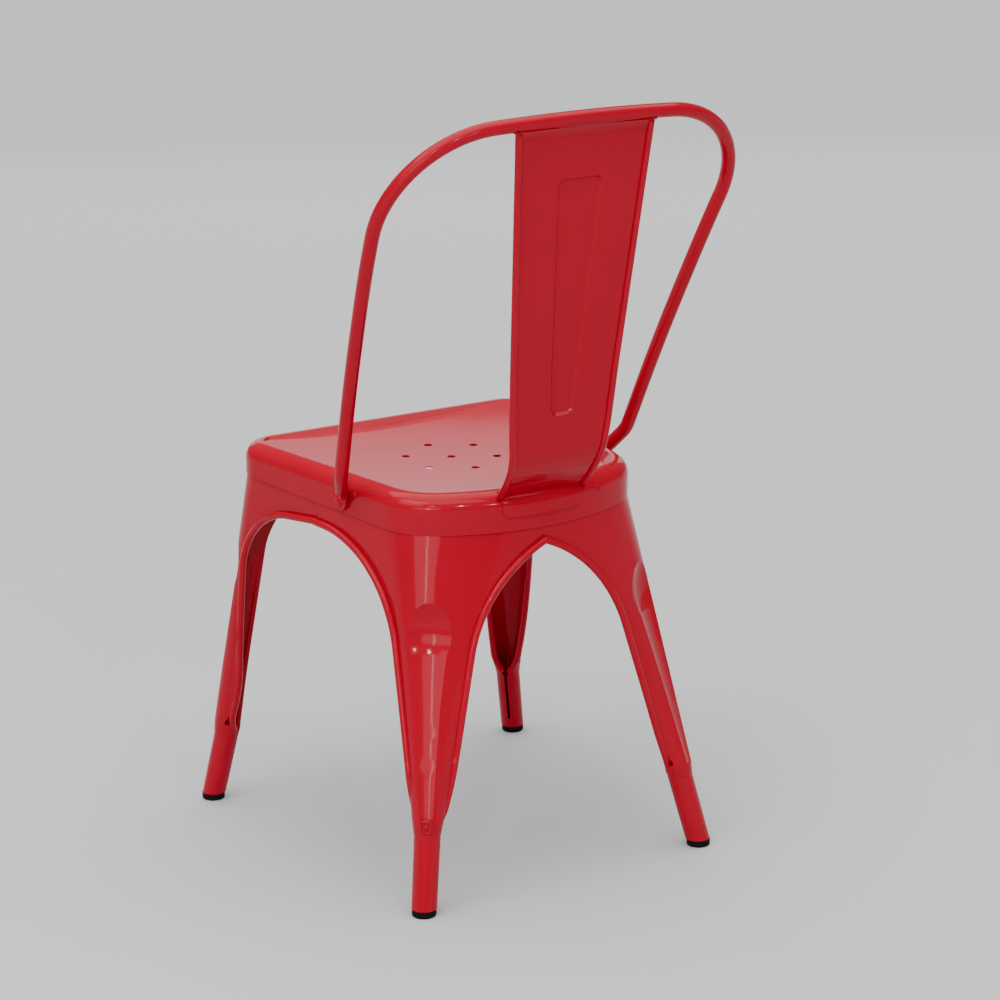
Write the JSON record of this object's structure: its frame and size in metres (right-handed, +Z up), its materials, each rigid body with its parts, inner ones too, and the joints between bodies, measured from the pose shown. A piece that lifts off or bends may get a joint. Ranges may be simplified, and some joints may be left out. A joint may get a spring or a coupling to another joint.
{
  "type": "stacking cafe chair",
  "caption": "Stacking cafe chair of pressed sheet steel with splayed tapering legs, a dished seat, a bent tube back and a leaning back plate.",
  "frame": {"origin": "on the floor, under the middle of the chair's overall box", "axes": "+Z up, the seat's front towards -Y and the back towards +Y, the sitter's left towards +X"},
  "size_m": [0.4416, 0.5115, 0.8465],
  "materials": {
    "red_paint": "gloss",
    "zinc": "satin",
    "black_rubber": "matte"
  },
  "bodies": {
    "root": {"seat_pan": "red_paint", "leg_front_left": "red_paint", "leg_front_right": "red_paint", "leg_rear_left": "red_paint", "leg_rear_right": "red_paint", "back_hoop": "red_paint", "back_splat": "red_paint", "brace_lower": "red_paint", "brace_upper": "red_paint", "brace_rivet": "red_paint", "hoop_bolt_left": "red_paint", "hoop_bolt_right": "red_paint", "hoop_nut_left": "zinc", "hoop_nut_right": "zinc", "skirt_rivet_left": "red_paint", "skirt_rivet_right": "red_paint", "foot_cap_front_left": "black_rubber", "foot_cap_front_right": "black_rubber", "foot_cap_rear_left": "black_rubber", "foot_cap_rear_right": "black_rubber"}
  },
  "joints": []
}
